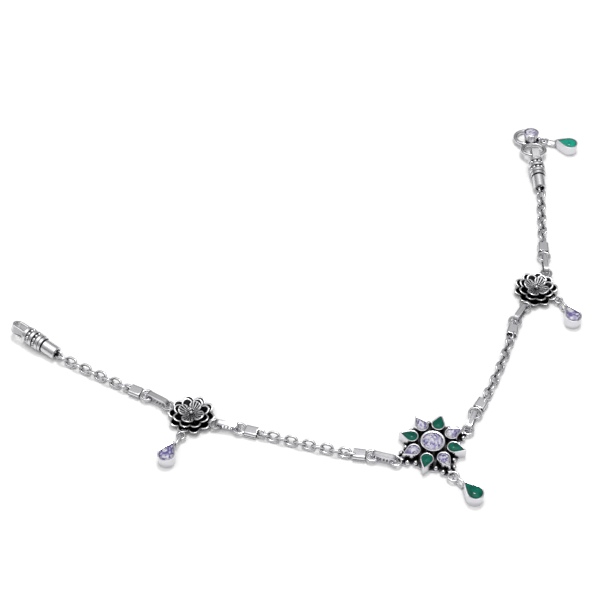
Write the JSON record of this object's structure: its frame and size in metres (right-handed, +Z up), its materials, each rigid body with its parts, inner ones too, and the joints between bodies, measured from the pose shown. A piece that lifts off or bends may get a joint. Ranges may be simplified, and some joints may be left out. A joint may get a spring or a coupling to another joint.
{
  "type": "payal anklet",
  "caption": "Silver chain anklet laid open, with a stone-set flower, two petal rosettes, pear drops, a catch eye at one end and an S hook at the other.",
  "frame": {"origin": "middle of the laid anklet, on the surface that it lies on", "axes": "+X along the longer side of the laid anklet towards the hook end, +Y away from the viewer, +Z up"},
  "size_m": [0.1574, 0.1306, 0.0052],
  "materials": {
    "polished_silver": "polished silver with dark oxide in its recesses",
    "oxidised_silver": "oxidised silver, polished on its raised edges",
    "clear_stone": "clear faceted stone with a faint lavender tint",
    "green_stone": "polished opaque green stone"
  },
  "bodies": {
    "root": {"centre_flower": "oxidised_silver", "flower_stone_centre": "clear_stone", "flower_clear_1": "clear_stone", "flower_green_1": "green_stone", "flower_clear_2": "clear_stone", "flower_green_2": "green_stone", "flower_clear_3": "clear_stone", "flower_green_3": "green_stone", "flower_clear_4": "clear_stone", "flower_green_4": "green_stone", "drop_centre": "polished_silver", "drop_centre_stone": "green_stone", "oblong_link_3": "polished_silver", "crimp_3": "polished_silver", "chain_2": "polished_silver", "crimp_2": "polished_silver", "oblong_link_2": "polished_silver", "rosette_left": "oxidised_silver", "drop_left": "polished_silver", "drop_left_stone": "clear_stone", "oblong_link_1": "polished_silver", "crimp_1": "polished_silver", "chain_1": "polished_silver", "catch_cap": "polished_silver", "oblong_link_4": "polished_silver", "crimp_4": "polished_silver", "chain_3": "polished_silver", "crimp_5": "polished_silver", "oblong_link_5": "polished_silver", "rosette_right": "oxidised_silver", "drop_right": "polished_silver", "drop_right_stone": "clear_stone", "oblong_link_6": "polished_silver", "crimp_6": "polished_silver", "chain_4": "polished_silver", "hook_cap": "polished_silver", "s_hook": "polished_silver", "s_hook_stone": "clear_stone", "drop_clasp": "polished_silver", "drop_clasp_stone": "green_stone"}
  },
  "joints": []
}
